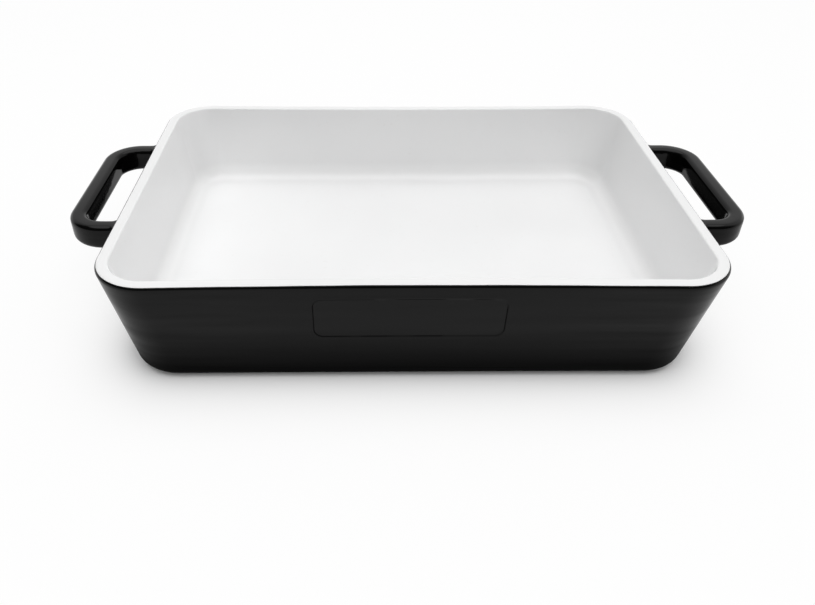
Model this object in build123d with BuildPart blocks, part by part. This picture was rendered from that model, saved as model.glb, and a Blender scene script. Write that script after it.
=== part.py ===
from build123d import *
from math import atan, cos, radians, sin, tan
import os

os.makedirs("parts", exist_ok=True)

# Lasagna dish of glazed stoneware, nominal 13 by 9 inches, in millimetres.
# The origin is the middle of the base on the surface that the dish stands on.
# +X runs along the dish to the right-hand handle, +Y to the back and +Z up.

# Outside of the dish over its glaze
rim_length = 330
rim_width = 235
height = 66
end_lean = 11
side_lean = 9
rim_corner_radius = 29
base_corner_radius = 28
side_bow = 2.4
base_edge_radius = 9
rim_outer_edge_radius = 2.2

# Walls and floor over their glaze
wall_thickness = 7.2
floor_thickness = 12
floor_edge_radius = 11
rim_inner_edge_radius = 1.1

# Unglazed foot ring under the base
foot_height = 1.2
foot_width = 7
foot_setback = 1.5

# Glaze coats, and how far in from the outside of the rim the colour changes
glaze_thickness = 0.5
colour_change_inset = 1

# Loop handles over their glaze
handle_reach = 30
handle_length = 109
handle_drop = 2.8
handle_thickness = 14.5
handle_bar_width = 9.6
handle_corner_radius = 21
handle_top_edge_radius = 2
handle_bottom_edge_radius = 3.5

# Luting slip round the roots of the handles
slip_radius = 4
slip_edge = 0.3
slip_top_drop = 0.6

# Extra length of tools that cut through
overrun = 5

# Angles in degrees along the quarter round of the slip
slip_angles = (20, 42, 64, 86)

# Levels that follow from the sizes
floor_level = foot_height + floor_thickness
handle_top = height - handle_drop
handle_middle = handle_top - handle_thickness / 2
arm_offset = (handle_length - handle_bar_width) / 2
end_lean_angle = atan(end_lean / height)


def outline(level, inset):
    """Level section of the outer wall at a height, moved in by inset: straight ends, bowed long sides."""
    rise_share = level / height
    half_length = rim_length / 2 - end_lean * (1 - rise_share) - inset
    half_width = rim_width / 2 - side_lean * (1 - rise_share) - inset
    corner_radius = base_corner_radius + (rim_corner_radius - base_corner_radius) * rise_share - inset
    bowed_half_width = half_width - side_bow * rise_share
    with BuildSketch(Plane.XY.offset(level)) as section:
        if level > 0:
            with BuildLine():
                right_end = Line((half_length, -half_width), (half_length, half_width))
                back = ThreePointArc(right_end @ 1, (0, bowed_half_width), (-half_length, half_width))
                left_end = Line(back @ 1, (-half_length, -half_width))
                ThreePointArc(left_end @ 1, (0, -bowed_half_width), right_end @ 0)
            make_face()
            fillet(section.vertices(), corner_radius)
        else:
            RectangleRounded(2 * half_length, 2 * half_width, corner_radius)
    return section.sketch


def tapered_form(inset, bottom):
    """Space inside the outer wall, moved in by inset, from a height up past the rim."""
    with BuildPart() as form:
        loft([outline(0, inset), outline(height + overrun, inset)], ruled=True)
        split(bisect_by=Plane.XY.offset(bottom), keep=Keep.TOP)
    return form.part


def outside_form(inset):
    """Solid bounded by the outer wall, its base edge and rim edge rounded, moved in by inset."""
    with BuildPart() as form:
        add(tapered_form(inset, foot_height + inset))
        split(bisect_by=Plane.XY.offset(height - inset), keep=Keep.BOTTOM)
        fillet(form.faces().sort_by(Axis.Z)[0].edges(), base_edge_radius - inset)
        fillet(form.faces().sort_by(Axis.Z)[-1].edges(), rim_outer_edge_radius - inset)
    return form.part


def hollow_form(growth):
    """Space inside the dish, open upwards, its floor edge rounded, made larger by growth."""
    with BuildPart() as form:
        add(tapered_form(wall_thickness - growth, floor_level - growth))
        fillet(form.faces().sort_by(Axis.Z)[0].edges(), floor_edge_radius + growth)
    return form.part


def tub_form(outside, hollow, inset):
    """Tub left between an outside and a hollow, with the inner edge of its rim rounded."""
    with BuildPart() as form:
        add(outside)
        add(hollow, mode=Mode.SUBTRACT)
        rim = form.faces().sort_by(Axis.Z)[-1]
        fillet(rim.inner_wires()[0].edges(), rim_inner_edge_radius - inset)
    return form.part


def loop_form(inset):
    """Closed loop of bar at the right-hand end, half of it inside the tub, moved in by inset."""
    bar_width = handle_bar_width - 2 * inset
    outer_radius = handle_corner_radius - inset
    with BuildPart() as form:
        with BuildSketch(Plane.XY.offset(handle_top - handle_thickness + inset)):
            with Locations((rim_length / 2, 0)):
                loop_depth = 2 * (handle_reach - inset)
                loop_width = handle_length - 2 * inset
                RectangleRounded(loop_depth, loop_width, outer_radius)
                gap_depth = loop_depth - 2 * bar_width
                gap_width = loop_width - 2 * bar_width
                RectangleRounded(gap_depth, gap_width, outer_radius - bar_width, mode=Mode.SUBTRACT)
        extrude(amount=handle_thickness - 2 * inset)
        fillet(form.faces().sort_by(Axis.Z)[-1].edges(), handle_top_edge_radius - inset)
        fillet(form.faces().sort_by(Axis.Z)[0].edges(), handle_bottom_edge_radius - inset)
    return form.part


def collar_section(wall_plane, distance, growth, inset):
    """Section of the slip at a distance from the wall, wider and deeper than the bar by growth."""
    bar_height = (handle_thickness - 2 * inset) / cos(end_lean_angle)
    section_height = bar_height - slip_top_drop + growth
    section_width = handle_bar_width - 2 * inset + 2 * growth
    middle = distance * tan(end_lean_angle) - (slip_top_drop + growth) / 2
    with BuildSketch(wall_plane.offset(distance)) as section:
        with Locations((0, middle)):
            RectangleRounded(section_width, section_height, handle_bottom_edge_radius - inset + growth)
    return section.sketch


def collar_form(arm_y, inset):
    """Flare of slip round one arm of the right-hand handle, its foot inside the wall."""
    wall_x = rim_length / 2 - end_lean * (height - handle_middle) / height - inset
    outwards = (cos(end_lean_angle), 0, -sin(end_lean_angle))
    wall_plane = Plane(origin=(wall_x, arm_y, handle_middle), x_dir=(0, 1, 0), z_dir=outwards)
    sections = [collar_section(wall_plane, -wall_thickness / 2, slip_radius + slip_edge, inset)]
    for angle in slip_angles:
        distance = slip_radius * (1 - cos(radians(angle)))
        growth = slip_radius * (1 - sin(radians(angle))) + slip_edge
        sections.append(collar_section(wall_plane, distance, growth, inset))
    with BuildPart() as form:
        loft(sections)
    return form.part


# Forms over the glaze and forms of the clay under it
glazed_outside = outside_form(0)
glazed_tub = tub_form(glazed_outside, hollow_form(0), 0)
glazed_loop = loop_form(0)
glazed_collars = [collar_form(arm_y, 0) for arm_y in (-arm_offset, arm_offset)]
clay_outside = outside_form(glaze_thickness)
clay_tub = tub_form(clay_outside, hollow_form(glaze_thickness), glaze_thickness)
clay_loop = loop_form(glaze_thickness)
clay_collars = [collar_form(arm_y, glaze_thickness) for arm_y in (-arm_offset, arm_offset)]

# Spaces that the white coat fills: over the rim inside the colour change, and inside the middle of wall and floor
rim_space = tapered_form(colour_change_inset, height - rim_outer_edge_radius)
liner_space = tapered_form(wall_thickness / 2, foot_height + floor_thickness / 2)

# Foot ring: its outer and inner edge, as distances in from the wall at the base
foot_outer_inset = base_edge_radius + foot_setback
foot_inner_inset = foot_outer_inset + foot_width

# Tub of fired clay, standing on its foot ring
with BuildPart() as stoneware_tub:
    add(clay_tub)
    with BuildSketch(Plane.XY):
        add(outline(0, foot_outer_inset))
        add(outline(0, foot_inner_inset), mode=Mode.SUBTRACT)
    extrude(amount=foot_height + glaze_thickness)
stoneware_tub.part.label = "stoneware_tub"
export_step(stoneware_tub.part, "parts/stoneware_tub.step")

# Right-hand handle: the half of the loop that stands clear of the tub
with BuildPart() as right_handle:
    add(clay_loop)
    add(clay_outside, mode=Mode.SUBTRACT)
right_handle.part.label = "right_handle"
export_step(right_handle.part, "parts/right_handle.step")

# Left-hand handle, the mirror image
with BuildPart() as left_handle:
    mirror(right_handle.part, about=Plane.YZ)
left_handle.part.label = "left_handle"
export_step(left_handle.part, "parts/left_handle.step")

# Slip that joins the two arms of the right-hand handle to the wall
with BuildPart() as right_handle_slip:
    add(clay_collars)
    add(clay_outside, mode=Mode.SUBTRACT)
    add(clay_loop, mode=Mode.SUBTRACT)
right_handle_slip.part.label = "right_handle_slip"
export_step(right_handle_slip.part, "parts/right_handle_slip.step")

# Slip of the left-hand handle, the mirror image
with BuildPart() as left_handle_slip:
    mirror(right_handle_slip.part, about=Plane.YZ)
left_handle_slip.part.label = "left_handle_slip"
export_step(left_handle_slip.part, "parts/left_handle_slip.step")

# Black coat over the walls, the base edge, the handles and the slip, up to the colour change on the rim
with BuildPart() as black_outer_glaze:
    add(glazed_outside)
    for piece in (glazed_loop, *glazed_collars):
        add(piece)
        mirror(piece, about=Plane.YZ)
    for piece in (clay_loop, *clay_collars):
        add(piece, mode=Mode.SUBTRACT)
        mirror(piece, about=Plane.YZ, mode=Mode.SUBTRACT)
    add(clay_outside, mode=Mode.SUBTRACT)
    add(rim_space, mode=Mode.SUBTRACT)
    with BuildSketch(Plane.XY):
        add(outline(0, foot_outer_inset))
    extrude(amount=foot_height + glaze_thickness, mode=Mode.SUBTRACT)
black_outer_glaze.part.label = "black_outer_glaze"
export_step(black_outer_glaze.part, "parts/black_outer_glaze.step")

# Black coat on the underside, inside the foot ring
with BuildPart() as black_underside_glaze:
    with BuildSketch(Plane.XY.offset(foot_height)):
        add(outline(0, foot_inner_inset).moved(Location((0, 0, foot_height))))
    extrude(amount=glaze_thickness)
black_underside_glaze.part.label = "black_underside_glaze"
export_step(black_underside_glaze.part, "parts/black_underside_glaze.step")

# White coat over the floor, the inner walls and the rim, out to the colour change
with BuildPart() as white_space:
    add(liner_space)
    add(rim_space)
with BuildPart() as white_liner_glaze:
    add(glazed_tub)
    add(clay_tub, mode=Mode.SUBTRACT)
    add(white_space.part, mode=Mode.INTERSECT)
white_liner_glaze.part.label = "white_liner_glaze"
export_step(white_liner_glaze.part, "parts/white_liner_glaze.step")
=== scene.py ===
import math

import bpy
import numpy as np
from mathutils import Matrix, Vector


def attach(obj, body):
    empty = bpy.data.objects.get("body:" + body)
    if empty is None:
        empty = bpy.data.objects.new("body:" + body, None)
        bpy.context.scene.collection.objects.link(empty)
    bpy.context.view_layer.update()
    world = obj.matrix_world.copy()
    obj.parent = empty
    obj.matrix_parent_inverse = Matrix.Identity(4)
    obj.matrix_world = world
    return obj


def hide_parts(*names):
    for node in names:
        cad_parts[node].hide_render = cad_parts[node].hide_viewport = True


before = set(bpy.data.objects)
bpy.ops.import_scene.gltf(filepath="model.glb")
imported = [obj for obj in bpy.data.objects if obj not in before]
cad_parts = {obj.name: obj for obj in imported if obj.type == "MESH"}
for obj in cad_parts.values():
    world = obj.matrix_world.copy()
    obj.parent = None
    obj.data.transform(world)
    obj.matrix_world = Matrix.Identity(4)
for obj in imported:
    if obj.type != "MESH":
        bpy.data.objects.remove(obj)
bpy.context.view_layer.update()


# The fired clay tub
#
# A thick tub of buff stoneware, pressed in a mould and fired. All of it but the foot ring that it
# stands on is covered by the glazes, so the bare clay shows on that ring alone.

class Wire:
    """A socket in a material. Sums of wires and numbers add their own Math nodes."""

    def __init__(self, tree, socket=None):
        self.tree = tree
        self.socket = socket

    def make(self, kind, settings, sockets, output=0):
        """Any other node: its settings are set first, then the values or wires of its sockets."""
        node = self.tree.nodes.new(kind)
        for name, value in settings.items():
            setattr(node, name, value)
        for name, value in sockets.items():
            if isinstance(value, Wire):
                self.tree.links.new(value.socket, node.inputs[name])
            else:
                node.inputs[name].default_value = value
        return Wire(self.tree, node.outputs[output])

    def maths(self, operation, first, second):
        """One step of sums: any operation of the Math node on two wires or numbers."""
        return self.make("ShaderNodeMath", {"operation": operation}, {0: first, 1: second})

    def __add__(self, other):
        return self.maths("ADD", self, other)

    def __radd__(self, other):
        return self.maths("ADD", other, self)

    def __sub__(self, other):
        return self.maths("SUBTRACT", self, other)

    def __rsub__(self, other):
        return self.maths("SUBTRACT", other, self)

    def __mul__(self, other):
        return self.maths("MULTIPLY", self, other)

    def __rmul__(self, other):
        return self.maths("MULTIPLY", other, self)

    def absolute(self):
        return self.maths("ABSOLUTE", self, 0.0)

    def at_least(self, other):
        return self.maths("MAXIMUM", self, other)

    def at_most(self, other):
        return self.maths("MINIMUM", self, other)

    def part(self, axis):
        """One component of a vector."""
        return self.make("ShaderNodeSeparateXYZ", {}, {"Vector": self}, axis)

    def ray(self, kind):
        """1 where the ray that looks at the surface is of this kind, else 0."""
        return self.make("ShaderNodeLightPath", {}, {}, kind)

    def noise(self, size, detail=2.0, stretch=(1.0, 1.0, 1.0)):
        """Soft noise from 0 to 1 whose lumps are about `size` metres across, drawn out by `stretch`."""
        scale = [1.0 / length for length in stretch]
        place = self.make("ShaderNodeVectorMath", {"operation": "MULTIPLY"}, {0: self, 1: scale})
        sockets = {"Vector": place, "Scale": 0.5 / size, "Detail": detail}
        return place.make("ShaderNodeTexNoise", {}, sockets)

    def ranged(self, low, high, new_low, new_high):
        """Carries low..high over to new_low..new_high in a smooth step and holds it there outside."""
        sockets = {"Value": self, "From Min": low, "From Max": high, "To Min": new_low, "To Max": new_high}
        return self.make("ShaderNodeMapRange", {"interpolation_type": "SMOOTHSTEP"}, sockets)

    def tint(self, colour, other_colour):
        """Colour between two colours, by this wire from 0 to 1."""
        sockets = {"Factor": self, "A": colour, "B": other_colour}
        return self.make("ShaderNodeMix", {"data_type": "RGBA"}, sockets, "Result")


def begin_finish(name):
    """A new material with its Principled shader, and a wire of the object's own coordinates."""
    material = bpy.data.materials.new(name)
    material.use_nodes = True
    shader = material.node_tree.nodes["Principled BSDF"]
    place = Wire(material.node_tree).make("ShaderNodeTexCoord", {}, {}, "Object")
    return material, shader, place


def end_finish(shader, place, constants, base_color, roughness, relief, relief_depth):
    """Sets the shader's fixed sockets and links what varies: colour, roughness and relief as a bump."""
    for name, value in constants.items():
        shader.inputs[name].default_value = value
    bump = place.make("ShaderNodeBump", {}, {"Height": relief, "Distance": relief_depth, "Strength": 1.0})
    for name, wire in (("Base Color", base_color), ("Roughness", roughness), ("Normal", bump)):
        place.tree.links.new(wire.socket, shader.inputs[name])


clay, shader, place = begin_finish("bare_stoneware")
clay_tone = place.noise(0.02, 3.0).tint((0.62, 0.54, 0.43, 1), (0.76, 0.69, 0.58, 1))
iron_specks = place.noise(0.0011, 1.0).ranged(0.66, 0.72, 0.0, 1.0)
clay_colour = iron_specks.tint(clay_tone, (0.2, 0.13, 0.08, 1))
clay_grain = place.noise(0.0006, 3.0) + place.noise(0.004, 2.0) * 0.6
end_finish(
    shader, place, {"IOR": 1.5},
    clay_colour, place.noise(0.01).ranged(0.3, 0.7, 0.78, 0.92), clay_grain, 0.00025,
)

for name in ("stoneware_tub", "left_handle", "right_handle", "left_handle_slip", "right_handle_slip"):
    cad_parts[name].data.materials.clear()
    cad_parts[name].data.materials.append(clay)


# The white liner glaze
#
# A glossy white glass coat over the floor, the inner walls and the flat rim. It ends in a fine,
# slightly wandering line on the outer rounding of the rim, where the black glaze takes over.

rim_length, rim_width, height = 0.330, 0.235, 0.066
end_lean, side_lean = 0.011, 0.009
rim_corner_radius, base_corner_radius = 0.029, 0.028
side_bow = 0.0024
rim_outer_edge_radius, rim_inner_edge_radius = 0.0022, 0.0011
wall_thickness, floor_top, floor_edge_radius = 0.0072, 0.0132, 0.011
coat = 0.0005
break_angle = math.radians(57)

# Places round a quarter of the dish, as shares of the way along its end, its corner and its long side.
# They lie close together where the ends of the front panel will be.
end_places = np.linspace(0, 1, 14)
corner_places = np.linspace(0, 1, 25)[1:]
side_places = np.unique(np.concatenate([
    np.linspace(0, 1, 40), np.linspace(0.6, 0.67, 26),
]))[1:]
end_share = np.concatenate([end_places, np.ones(corner_places.size + side_places.size)])
corner_share = np.concatenate([np.zeros(end_places.size), corner_places, np.ones(side_places.size)])
side_share = np.concatenate([np.zeros(end_places.size + corner_places.size), side_places])


def quarter(level, inset):
    """Quarter of the wall's outline at a height, moved in by an inset, and its outward directions.

    The end is a straight line x = a. The long side is an arc of a circle that passes through
    (a, b) and (0, b - bow). The corner is an arc that touches both. Everything shrinks or grows
    in proportion to height between the base and the rim.
    """
    rise = level / height
    a = rim_length / 2 - end_lean * (1 - rise) - inset
    b = rim_width / 2 - side_lean * (1 - rise) - inset
    radius = base_corner_radius + (rim_corner_radius - base_corner_radius) * rise - inset
    bow = np.maximum(side_bow * rise, 1e-6)
    bow_radius = (a ** 2 + bow ** 2) / (2 * bow)
    bow_centre = b - bow + bow_radius
    corner_x = a - radius
    corner_y = bow_centre - np.sqrt((bow_radius + radius) ** 2 - corner_x ** 2)
    lean_in = np.arcsin(corner_x / (bow_radius + radius))
    turn = corner_share * (math.pi / 2 + lean_in)
    sweep = lean_in * (1 - side_share)
    on_side = side_share > 0
    direction = np.where(on_side, math.pi / 2 + sweep, turn)
    x = np.where(on_side, bow_radius * np.sin(sweep), corner_x + radius * np.cos(turn))
    y = np.where(on_side, bow_centre - bow_radius * np.cos(sweep), corner_y + radius * np.sin(turn))
    y = np.where(corner_share == 0, corner_y * end_share, y)
    return x, y, direction


def all_round(values, left, front):
    """Carries rows over a quarter round the whole dish by mirroring, counter-clockwise from the middle of
    the right-hand end; the left and the front half are multiplied by the given signs."""
    return np.concatenate([
        values, left * values[:, -2::-1], left * front * values[:, 1:], front * values[:, -2:0:-1],
    ], axis=1)


def along_wall(level, inset):
    """Points of the rows of a profile carried all round the dish; level and inset are rows by columns."""
    x, y, _ = quarter(level, inset)
    return np.stack([all_round(x, -1, 1), all_round(y, 1, -1), all_round(level, 1, 1)], axis=2)


def lean():
    """Run over rise of the outer wall at each place round the quarter, square to the wall."""
    zero = np.zeros((1, corner_share.size))
    low_x, low_y, _ = quarter(zero, zero)
    high_x, high_y, direction = quarter(zero + height, zero)
    return ((high_x - low_x) * np.cos(direction) + (high_y - low_y) * np.sin(direction)) / height


def edge_arc(side, depth, centre_level, radius, start, end, steps):
    """Rows of a quarter-round or fillet, as (level, inset): a circle set in the corner between a level
    plane and the leaning wall. `side` is +1 where the circle's centre lies inside the wall line and -1
    where it lies outside; angles run from the outward level direction, with 'wall' for where the
    circle touches the leaning line."""
    run = lean()
    touch = -np.arctan(run) if side > 0 else math.pi - np.arctan(run)
    first = touch if start == "wall" else np.full_like(run, start)
    last = touch if end == "wall" else np.full_like(run, end)
    share = np.linspace(0, 1, steps)[:, None]
    angle = first + (last - first) * share
    centre = run * centre_level - depth - side * radius * np.sqrt(1 + run ** 2)
    level = centre_level + radius * np.sin(angle)
    offset = centre + radius * np.cos(angle)
    return level, run * level - offset


def blend(first, last, share):
    """Rows at shares of the way from the last row of one set to the first row of the next."""
    level = first[0][-1:] * (1 - share) + last[0][:1] * share
    inset = first[1][-1:] * (1 - share) + last[1][:1] * share
    return level, inset


def straight(first, last, steps):
    """Rows between two single rows of (level, inset), both ends left out."""
    share = np.linspace(0, 1, steps + 2)[1:-1, None]
    return blend(first, last, share)


def joined(*rows):
    """Several sets of rows, each (level, inset), as one."""
    return np.concatenate([r[0] for r in rows]), np.concatenate([r[1] for r in rows])


def skin(name, points, ring=False, poles=False):
    """A mesh from rows of points, each row a closed loop, quads between the rows. A ring joins its last
    row to its first; poles close the first and the last row with one point at its middle."""
    rows, columns = points.shape[:2]
    vertices = points.reshape(-1, 3)
    row = np.arange(rows if ring else rows - 1)[:, None]
    column = np.arange(columns)[None, :]
    next_row, next_column = (row + 1) % rows, (column + 1) % columns
    quads = np.stack([
        row * columns + column, row * columns + next_column,
        next_row * columns + next_column, next_row * columns + column,
    ], axis=2).reshape(-1, 4)
    faces = quads.tolist()
    if poles:
        top, bottom = len(vertices), len(vertices) + 1
        vertices = np.concatenate([vertices, [points[0].mean(axis=0)], [points[-1].mean(axis=0)]])
        first = np.arange(columns)
        after = (first + 1) % columns
        base = (rows - 1) * columns
        faces += np.stack([after, first, np.full(columns, top)], axis=1).tolist()
        faces += np.stack([base + first, base + after, np.full(columns, bottom)], axis=1).tolist()
    mesh = bpy.data.meshes.new(name)
    mesh.from_pydata(vertices, [], faces)
    mesh.polygons.foreach_set("use_smooth", np.ones(len(mesh.polygons), bool))
    piece = bpy.data.objects.new(name, mesh)
    bpy.context.scene.collection.objects.link(piece)
    return piece


def wandered(points, rows):
    """Slides the first rows of points along the rounding of the rim, the first row the most, so that
    the line between the two glazes wanders: three sine waves of the turn round the dish."""
    turn = np.arctan2(points[..., 1] * rim_length / rim_width, points[..., 0])
    slow, middling = 0.00008 * np.sin(5 * turn + 0.4), 0.00005 * np.sin(13 * turn + 2.1)
    amount = slow + middling + 0.00003 * np.sin(31 * turn + 1.3)
    fade = np.zeros((len(points), 1))
    fade[:rows, 0] = np.linspace(1, 0, rows)
    level = np.full((1, corner_share.size), height)
    _, _, direction = quarter(level, 0 * level)
    outward_x, outward_y = all_round(np.cos(direction), -1, 1), all_round(np.sin(direction), 1, -1)
    along = np.stack([
        outward_x * math.sin(break_angle), outward_y * math.sin(break_angle),
        np.full_like(outward_x, -math.cos(break_angle)),
    ], axis=2)
    return points + (amount * fade)[..., None] * along


quarter_turn = math.pi / 2
rim_round = edge_arc(
    1, 0.0, height - rim_outer_edge_radius, rim_outer_edge_radius, break_angle, quarter_turn, 7,
)
lip_round = edge_arc(
    -1, wall_thickness, height - rim_inner_edge_radius, rim_inner_edge_radius,
    quarter_turn, "wall", 9,
)
floor_round = edge_arc(
    1, wall_thickness, floor_top + floor_edge_radius, floor_edge_radius,
    "wall", -quarter_turn, 15,
)
inner_wall = straight(lip_round, floor_round, 24)
rim_land = straight(rim_round, lip_round, 3)
liner_level, liner_inset = joined(rim_round, rim_land, lip_round, inner_wall, floor_round)
liner_top = wandered(along_wall(liner_level, liner_inset), 7)

floor_share = np.linspace(1, 0, 26)[1:-1, None, None]
floor_ring = liner_top[-1:]
floor_rows = floor_ring * np.array([1, 1, 0]) * floor_share + np.array([0, 0, floor_top])
liner_top = np.concatenate([liner_top, floor_rows])

rim_back = edge_arc(
    1, coat, height - rim_outer_edge_radius, rim_outer_edge_radius - coat,
    break_angle, quarter_turn, 4,
)
lip_back = edge_arc(
    -1, wall_thickness - coat, height - rim_inner_edge_radius, rim_inner_edge_radius - coat,
    quarter_turn, "wall", 4,
)
floor_back = edge_arc(
    1, wall_thickness - coat, floor_top + floor_edge_radius, floor_edge_radius + coat,
    "wall", -quarter_turn, 8,
)
back_level, back_inset = joined(rim_back, lip_back, floor_back)
liner_under = wandered(along_wall(back_level, back_inset), 4)
under_ring = liner_under[-1:]
under_rows = under_ring * np.array([1, 1, 0]) * floor_share[::6] + np.array([0, 0, floor_top - coat])
liner_under = np.concatenate([liner_under, under_rows])

liner_points = np.concatenate([liner_under[::-1], liner_top])

liner = skin("white_liner_coat", liner_points, poles=True)
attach(liner, "root")
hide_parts("white_liner_glaze")

white, shader, place = begin_finish("white_glaze")
cloudy = place.noise(0.05, 2.0).ranged(0.3, 0.7, 0.0, 1.0)
white_tone = cloudy.tint((0.858, 0.859, 0.86, 1), (0.883, 0.884, 0.885, 1))
pin_specks = place.noise(0.0012, 0.0).ranged(0.80, 0.84, 0.0, 0.05)
speckled = pin_specks.tint(white_tone, (0.55, 0.5, 0.45, 1))
# Painted highlight: the rounding round the floor is painted a whiter white, standing in for the bright
# line that the light lays along it
level = place.part("Z")
painted_fillet_highlight = level.ranged(0.0133, 0.0155, 0.0, 1.0) * level.ranged(0.018, 0.027, 1.0, 0.0)
white_colour = painted_fillet_highlight.tint(speckled, (0.95, 0.95, 0.95, 1))
orange_peel = place.noise(0.006, 2.0) + place.noise(0.0015, 1.0) * 0.15
end_finish(
    shader, place, {"IOR": 1.5},
    white_colour, place.noise(0.02, 2.0).ranged(0.3, 0.7, 0.06, 0.1), orange_peel, 0.00004,
)
liner.data.materials.append(white)


# The black outer glaze on the walls
#
# A glossy black glass coat over the outer walls and under the base as far as the foot ring. A bare,
# very shallow panel with a softened edge is pressed into the middle of the front wall under it.

base_edge_radius = 0.006
foot_height, foot_setback = 0.0012, 0.0045
panel_width, panel_height, panel_corner_radius = 0.0985, 0.0254, 0.0048
panel_across, panel_middle, panel_depth, panel_lip = -0.0025, 0.0443, 0.00022, 0.00005


def panel_relief(points):
    """How far the front wall is sunk at each point: nothing outside a rounded rectangle, the full depth
    inside it, a smooth step between, and a faint raised lip just outside."""
    across = np.abs(points[..., 0] - panel_across) - (panel_width / 2 - panel_corner_radius)
    up = np.abs(points[..., 2] - panel_middle) - (panel_height / 2 - panel_corner_radius)
    outside = np.hypot(np.maximum(across, 0), np.maximum(up, 0))
    distance = outside + np.minimum(np.maximum(across, up), 0) - panel_corner_radius
    step = np.clip(0.5 - distance / 0.0012, 0, 1)
    sunk = panel_depth * step * step * (3 - 2 * step)
    lip = panel_lip * np.exp(-((distance - 0.0011) / 0.0006) ** 2)
    return np.where(points[..., 1] < 0, sunk - lip, 0)


def wall_rows(growth, steps, wall_steps):
    """Rows of (level, inset) down the outside: rim rounding from the colour change, wall, base edge and
    the underside as far as the foot ring, moved in by growth."""
    rounding = edge_arc(
        1, growth, height - rim_outer_edge_radius, rim_outer_edge_radius - growth,
        break_angle, "wall", steps,
    )
    base = edge_arc(
        1, growth, foot_height + base_edge_radius, base_edge_radius - growth,
        "wall", -quarter_turn, 2 * steps,
    )
    ring_edge = (base[0][-1:], base_edge_radius + foot_setback + lean() * base[0][-1:])
    wall = blend(rounding, base, wall_steps[:, None])
    return joined(rounding, wall, base, straight(base, ring_edge, 1), ring_edge)


# Rows down the wall as shares of its height, close together at the panel's top and bottom edge
wall_places = np.concatenate([
    np.linspace(0.0, 1.0, 34)[1:-1], np.linspace(0.085, 0.165, 18), np.linspace(0.55, 0.635, 18),
])
outer_points = wandered(along_wall(*wall_rows(0.0, 8, np.unique(wall_places))), 8)
inner_points = wandered(along_wall(*wall_rows(coat, 4, np.linspace(0, 1, 5)[1:-1])), 4)

_, _, facing = quarter(np.zeros((1, corner_share.size)) + height, np.zeros((1, corner_share.size)))
facing_x = all_round(np.cos(facing), -1, 1)
facing_round = np.stack([facing_x, all_round(np.sin(facing), 1, -1), 0 * facing_x], axis=2)
sunk = panel_relief(outer_points)
outer_points = outer_points - facing_round * sunk[..., None]

wall_coat = skin("black_wall_coat", np.concatenate([outer_points[::-1], inner_points]), ring=True)
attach(wall_coat, "root")
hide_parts("black_outer_glaze")


def rounded_distance(across, along, half_across, half_along, radius):
    """Distance from a rounded rectangle about the middle of two coordinates, below zero inside it."""
    across = across.absolute() - (half_across - radius)
    along = along.absolute() - (half_along - radius)
    beyond_across, beyond_along = across.at_least(0.0), along.at_least(0.0)
    squares = beyond_across * beyond_across + beyond_along * beyond_along
    return squares.maths("SQRT", squares, 0.0) + across.at_least(along).at_most(0.0) - radius


def mixed_finish(material, shader, place, share, other, other_output):
    """Ends the material in a mix of its shader and another one, by a varying share of the other."""
    tree = material.node_tree
    first, second = Wire(tree, shader.outputs["BSDF"]), Wire(tree, other.outputs[other_output])
    mixed = place.make("ShaderNodeMixShader", {}, {0: share, 1: first, 2: second}, "Shader")
    tree.links.new(mixed.socket, tree.nodes["Material Output"].inputs["Surface"])


black, shader, place = begin_finish("black_glaze")
black_tone = place.noise(0.03, 3.0).tint((0.0008, 0.0008, 0.0009, 1), (0.0024, 0.0023, 0.0022, 1))
streaks = place.noise(0.0035, 2.0, (16.0, 16.0, 1.0))
black_relief = place.noise(0.007, 2.0) + streaks * 0.5 + place.noise(0.0016, 1.0) * 0.12
end_finish(
    shader, place, {"IOR": 1.5, "Specular IOR Level": 0.26},
    black_tone, streaks.ranged(0.35, 0.65, 0.05, 0.09), black_relief, 0.00005,
)

# Painted shade: on all but upward faces the black glaze is partly mixed with a dull black that reflects
# nothing, more so lower down and most at the base, so that it shows a darker reflection of the floor and
# of the dish's shadow on it; upward faces keep the full gloss.
# Round the panel a fine dull line with a few breaks is painted shade, standing in for the dark edge of the
# shallow recess.
level = place.part("Z")
upward = place.make("ShaderNodeNewGeometry", {}, {}, "Normal").part("Z").ranged(0.5, 0.9, 0.0, 1.0)
on_front = place.part("Y").ranged(-0.098, -0.096, 1.0, 0.0)
edge = rounded_distance(
    place.part("X") - panel_across, level - panel_middle,
    panel_width / 2, panel_height / 2, panel_corner_radius,
)
# Painted shade: a fine dull line round the edge of the panel
panel_edge_painted_shade = edge.absolute().ranged(0.00018, 0.00042, 1.0, 0.0) * on_front
unbroken = place.noise(0.012, 1.0).ranged(0.42, 0.5, 0.25, 1.0)
inside_panel = edge.ranged(-0.0006, 0.0, 1.0, 0.0) * on_front
near_ends = place.part("X").absolute().ranged(0.06, 0.13, 0.25, 1.0)
# Painted shade: the share of gloss falls towards the base
painted_shade_rise = ((level + 0.002) * (1 / 0.039)).at_most(1.0).at_least(0.02) * 0.6
streaky = (streaks - 0.5) * near_ends * 1.2
wall_gloss_after_painted_shade = painted_shade_rise * (1 + streaky + inside_panel * 0.07 - panel_edge_painted_shade * unbroken * 0.75)
gloss_after_painted_shade = wall_gloss_after_painted_shade + (1 - wall_gloss_after_painted_shade) * upward
# The dull black that is mixed in paints the shade
dull_painted_shade = black.node_tree.nodes.new("ShaderNodeBsdfPrincipled")
dull_painted_shade.inputs["Base Color"].default_value = (0.0016, 0.0016, 0.0016, 1)
dull_painted_shade.inputs["Roughness"].default_value = 0.8
dull_painted_shade.inputs["Specular IOR Level"].default_value = 0.0
mixed_finish(black, shader, place, 1 - gloss_after_painted_shade, dull_painted_shade, "BSDF")
wall_coat.data.materials.append(black)


# The loop handles
#
# Each end carries a closed loop of clay bar, flat on top and rounder below, luted on with slip that
# flares out onto the wall. One coat of the black glaze runs over bar and slip.

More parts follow.
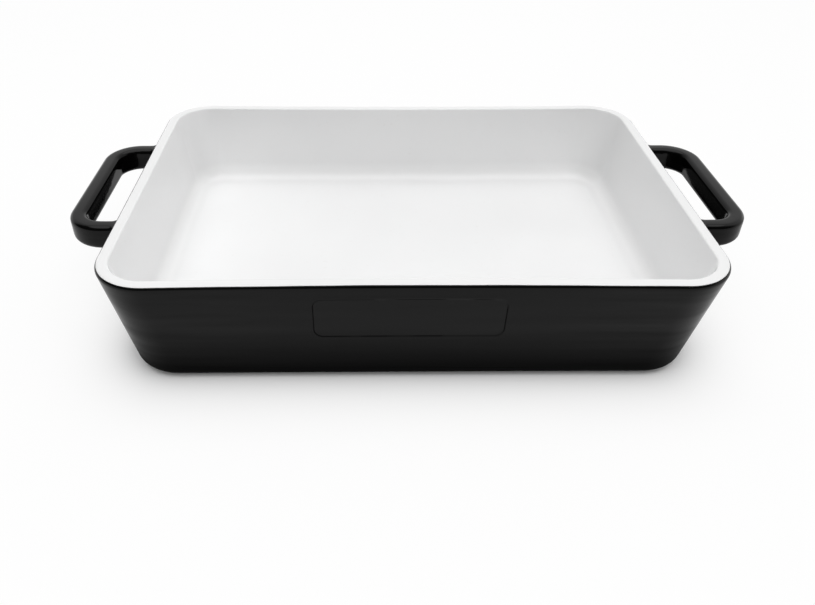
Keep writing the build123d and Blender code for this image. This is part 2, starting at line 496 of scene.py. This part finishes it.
handle_reach, handle_length = 0.030, 0.109
handle_drop, handle_thickness, handle_bar_width = 0.0028, 0.0145, 0.0096
handle_corner_radius = 0.021
handle_top_edge_radius, handle_bottom_edge_radius = 0.0028, 0.0035
slip_radius, slip_edge = 0.004, 0.0003


def bar_section(growth):
    """Section of the bar as (across, up) from the middle of its top: a rectangle with small rounded top
    edges and larger rounded bottom edges, each side and the bottom moved out by growth."""
    half = handle_bar_width / 2 + growth
    low = -handle_thickness - growth
    turn = np.linspace(0, math.pi / 2, 7) + 0 * growth
    top, bottom = handle_top_edge_radius, handle_bottom_edge_radius + growth
    across = np.concatenate([
        half - top + top * np.cos(turn), -half + top - top * np.sin(turn),
        -half + bottom - bottom * np.cos(turn), half - bottom + bottom * np.sin(turn),
    ], axis=-1)
    up = np.concatenate([
        -top + top * np.sin(turn), -top + top * np.cos(turn),
        low + bottom - bottom * np.sin(turn), low + bottom - bottom * np.cos(turn),
    ], axis=-1)
    return across, up


arm_offset = (handle_length - handle_bar_width) / 2
arm_end = rim_length / 2 + handle_reach - handle_corner_radius
turn_radius = handle_corner_radius - handle_bar_width / 2
handle_top = height - handle_drop
wall_lean = end_lean / height

# Places along an arm from the wall to the corner: two inside the wall, then close together on the flare
arm_share = np.concatenate([[-0.25, -0.12], np.linspace(0, 1, 22)[:-1] ** 1.6])
arm_run = arm_end - rim_length / 2 + wall_lean * 0.01
flare_left = 1 - np.clip(arm_share * arm_run / slip_radius, 0, 1)
flare = slip_radius * (1 - np.sqrt(1 - flare_left ** 2))
flare_edge = slip_edge * (1 - np.clip(arm_share * 2.2, 0, 1))
growth = (flare + flare_edge)[:, None]
across, up = bar_section(growth)
arm_foot = rim_length / 2 + wall_lean * (handle_top + up - height)
arm_x = arm_foot * (1 - arm_share[:, None]) + arm_end * arm_share[:, None]
near_arm = np.stack([arm_x, -arm_offset - across, handle_top + up], axis=2)

across, up = bar_section(np.zeros((1, 1)))
turn = np.linspace(-math.pi / 2, 0, 15)[:, None]
reach = turn_radius + across
corner_middle_y = -arm_offset + turn_radius
near_turn = np.stack([
    arm_end + reach * np.cos(turn), corner_middle_y + reach * np.sin(turn),
    handle_top + up + 0 * turn,
], axis=2)
grip_y = np.linspace(corner_middle_y, 0, 14)[1:, None]
near_grip = np.stack([
    arm_end + turn_radius + across + 0 * grip_y, grip_y + 0 * across, handle_top + up + 0 * grip_y,
], axis=2)
near_half = np.concatenate([near_arm, near_turn, near_grip])
far_half = near_half[-2::-1] * np.array([1, -1, 1])
loop = np.concatenate([near_half, far_half])

right_coat = skin("right_handle_coat", loop[::-1], poles=True)
left_coat = skin("left_handle_coat", loop * np.array([-1, 1, 1]), poles=True)
for handle_coat in (right_coat, left_coat):
    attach(handle_coat, "root")
    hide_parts("black_outer_glaze")
    handle_coat.data.materials.append(black)


# The coat on the underside
#
# The shallow recess inside the foot ring has the same black glaze, on which the kiln leaves nothing
# but its own slight unevenness.

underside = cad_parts["black_underside_glaze"]
underside.data.materials.clear()
underside.data.materials.append(black)


# Floor, light and camera
#
# A plain white sheet under a large soft ceiling, with a soft light in front, a small one over the
# back, pale walls behind and to the right, and a dark room to the left and behind the camera, which
# the black glaze shows as dark lines along its rounded edges.

floor_half = 12.0
floor_mesh = bpy.data.meshes.new("floor")
floor_corners = np.array([[-1, -1, 0], [1, -1, 0], [1, 1, 0], [-1, 1, 0]]) * floor_half
floor_mesh.from_pydata(floor_corners, [], [(0, 1, 2, 3)])
floor = bpy.data.objects.new("floor", floor_mesh)
bpy.context.scene.collection.objects.link(floor)
paper, shader, place = begin_finish("floor_paper")
paper_tone = place.noise(0.4).tint((0.93, 0.93, 0.93, 1), (0.95, 0.95, 0.95, 1))
end_finish(
    shader, place, {"Specular IOR Level": 0.0},
    paper_tone, place.noise(0.1).ranged(0, 1, 0.9, 1.0), place.noise(0.01), 0.00001,
)
floor.data.materials.append(paper)

# Towards the far floor the sheet goes over to plain white, as in an evenly lit sweep; the sheet's own
# shading, with the dish's shadow, stays near the dish. The distance is that from a rounded rectangle
# that is a little longer and narrower than the base.
distance = rounded_distance(place.part("X"), place.part("Y"), 0.158, 0.1055, 0.028)
nearness = distance.at_least(0.0) * (-1 / 0.014)
white_share = (1 - nearness.maths("EXPONENT", nearness, 0.0)) * 0.87
seen = place.ray("Is Camera Ray") + place.ray("Is Glossy Ray") + place.ray("Is Transmission Ray")
plain_white = paper.node_tree.nodes.new("ShaderNodeEmission")
plain_white.inputs["Color"].default_value = (1, 1, 1, 1)
plain_white.inputs["Strength"].default_value = 1.0
mixed_finish(paper, shader, place, seen * white_share, plain_white, "Emission")


def soft_light(name, size, power, where, aim):
    """A rectangular soft light of a size in metres at a place, turned to face a point."""
    data = bpy.data.lights.new(name, "AREA")
    data.shape = "RECTANGLE"
    data.size, data.size_y = size
    data.energy = power
    lamp = bpy.data.objects.new(name, data)
    bpy.context.scene.collection.objects.link(lamp)
    lamp.location = where
    lamp.rotation_euler = (Vector(aim) - Vector(where)).to_track_quat("-Z", "Y").to_euler()
    lamp.visible_camera = False
    return lamp


fill = soft_light("front_fill", (2.4, 1.6), 25.0, (0.0, -2.45, 2.0), (0, 0, 0.03))
fill.visible_glossy = False
soft_light("strip_box", (0.9, 0.05), 0.35, (0.0, -0.5, 1.05), (0, 0, 0.05))
back_top = soft_light("back_top", (0.8, 0.4), 1.2, (-0.05, 0.3, 0.9), (-0.05, 0.3, 0))
back_top.visible_glossy = False

world = bpy.data.worlds.new("studio")
bpy.context.scene.world = world
world.use_nodes = True
tree = world.node_tree
sky = tree.nodes["Background"]
start = Wire(tree)
direction = start.make("ShaderNodeTexCoord", {}, {}, "Generated")
left_right, front_back, up_down = direction.part("X"), direction.part("Y"), direction.part("Z")
ceiling = up_down.ranged(0.8, 0.88, 0.0, 1.0)
high = up_down.ranged(0.15, 0.4, 0.0, 1.0)
behind = front_back.ranged(0.0, 0.45, 0.0, 1.0)
ahead = front_back.ranged(-0.45, 0.0, 1.0, 0.0)
right = left_right.ranged(-0.2, 0.2, 0.0, 1.0)
walls = 1 - ceiling
sides = 1 - behind - ahead
strength = ceiling * 1.6 + walls * (
    behind * (high * 0.7 + (1 - high) * 0.95) + ahead * 0.08 + sides * (right * 0.85 + 0.04)
)
# What is seen past the edge of the sheet is plain white; the glaze shows that too, low by the horizon
horizon = up_down.ranged(0.03, 0.08, 1.0, 0.0)
seen = start.ray("Is Camera Ray") + start.ray("Is Transmission Ray")
seen = seen + start.ray("Is Glossy Ray") * horizon
strength = seen + (1 - seen) * strength
tree.links.new(strength.socket, sky.inputs["Strength"])
sky.inputs["Color"].default_value = (1, 1, 1, 1)

# The camera's place, turn and focal length were fitted to the outlines of the dish; the focal length
# and the shift are shares of an image 815 pixels wide
focal_share = 745.3 / 815
pitch, yaw, roll = math.radians(36.62), math.radians(-0.864), math.radians(0.298)
camera_data = bpy.data.cameras.new("camera")
camera = bpy.data.objects.new("camera", camera_data)
bpy.context.scene.collection.objects.link(camera)
bpy.context.scene.camera = camera
camera_data.sensor_width = 36.0
camera_data.lens = focal_share * 36.0
camera_data.shift_x = (407.5 - 376.3) / 815
camera.location = (-0.02417, -0.41293, 0.27742)
turned = Matrix.Rotation(yaw, 4, "Z") @ Matrix.Rotation(math.pi / 2 - pitch, 4, "X")
camera.rotation_euler = (turned @ Matrix.Rotation(roll, 4, "Z")).to_euler()
camera_data.clip_start, camera_data.clip_end = 0.01, 50.0

bpy.context.scene.view_settings.view_transform = "Standard"
